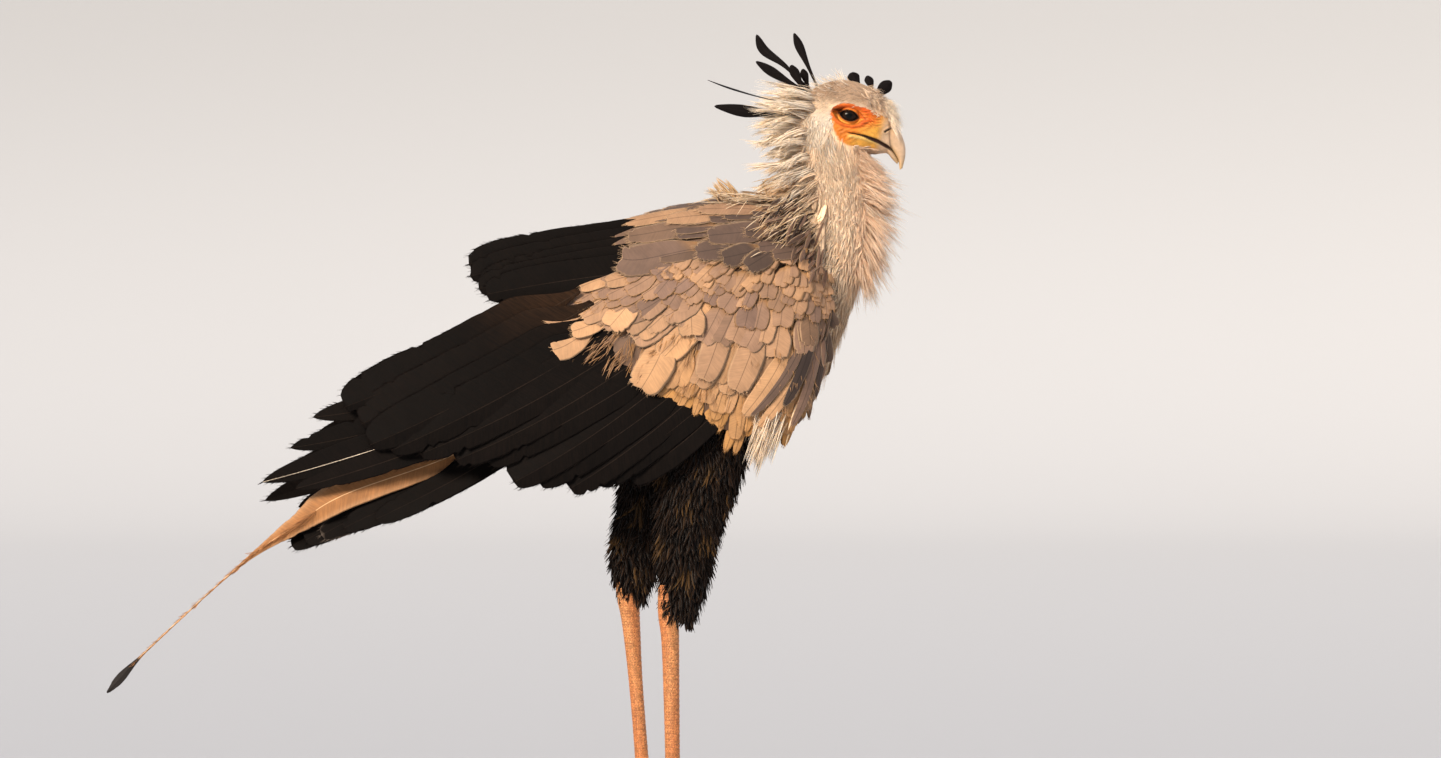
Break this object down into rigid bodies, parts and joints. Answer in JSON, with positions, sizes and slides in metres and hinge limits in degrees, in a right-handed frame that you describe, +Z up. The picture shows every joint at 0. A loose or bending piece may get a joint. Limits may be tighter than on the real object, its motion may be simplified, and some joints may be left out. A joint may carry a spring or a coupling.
{
  "type": "secretary bird",
  "caption": "Standing secretary bird, life size and still: long pink legs, folded grey and black wings, loose black nape plumes, hooked bill and long trailing tail feathers.",
  "frame": {"origin": "on the floor, below the middle of the bird's length from bill to tail tip and of its width", "axes": "+X the way the bird looks, +Y its left side, +Z up from the floor"},
  "size_m": [0.998, 0.2506, 1.0413],
  "materials": {
    "pale_down": "cream, loose and soft",
    "grey_plumage": "buff grey feather",
    "black_plumage": "black feather with a slight sheen",
    "streamer": "grey brown feather",
    "horn": "pale horn",
    "leg_skin": "pink scaled skin",
    "claw": "dark horn",
    "eye": "wet and glossy"
  },
  "bodies": {
    "root": {"trunk": "grey_plumage", "neck": "pale_down", "head": "pale_down", "bill_upper": "horn", "bill_lower": "horn", "eye_right": "eye", "eye_left": "eye", "crest_1": "black_plumage", "crest_2": "black_plumage", "crest_3": "black_plumage", "crest_4": "black_plumage", "crest_5": "black_plumage", "crest_6": "black_plumage", "crest_7": "black_plumage", "crest_8": "black_plumage", "crest_9": "black_plumage", "crest_10": "black_plumage", "wing_coverts_right": "grey_plumage", "wing_coverts_left": "grey_plumage", "wing_scapulars_right": "grey_plumage", "wing_scapulars_left": "grey_plumage", "wing_tertials_right": "black_plumage", "wing_tertials_left": "black_plumage", "wing_secondaries_right": "black_plumage", "wing_secondaries_left": "black_plumage", "wing_primaries_right": "black_plumage", "wing_primaries_left": "black_plumage", "tail_fan": "black_plumage", "tail_streamer_right": "streamer", "tail_streamer_left": "streamer", "thigh_right": "black_plumage", "thigh_left": "black_plumage", "shank_right": "leg_skin", "shank_left": "leg_skin", "foot_right": "leg_skin", "foot_left": "leg_skin", "toe_inner_right": "leg_skin", "toe_middle_right": "leg_skin", "toe_outer_right": "leg_skin", "toe_hind_right": "leg_skin", "toe_inner_left": "leg_skin", "toe_middle_left": "leg_skin", "toe_outer_left": "leg_skin", "toe_hind_left": "leg_skin", "claw_inner_right": "claw", "claw_middle_right": "claw", "claw_outer_right": "claw", "claw_hind_right": "claw", "claw_inner_left": "claw", "claw_middle_left": "claw", "claw_outer_left": "claw", "claw_hind_left": "claw"}
  },
  "joints": []
}
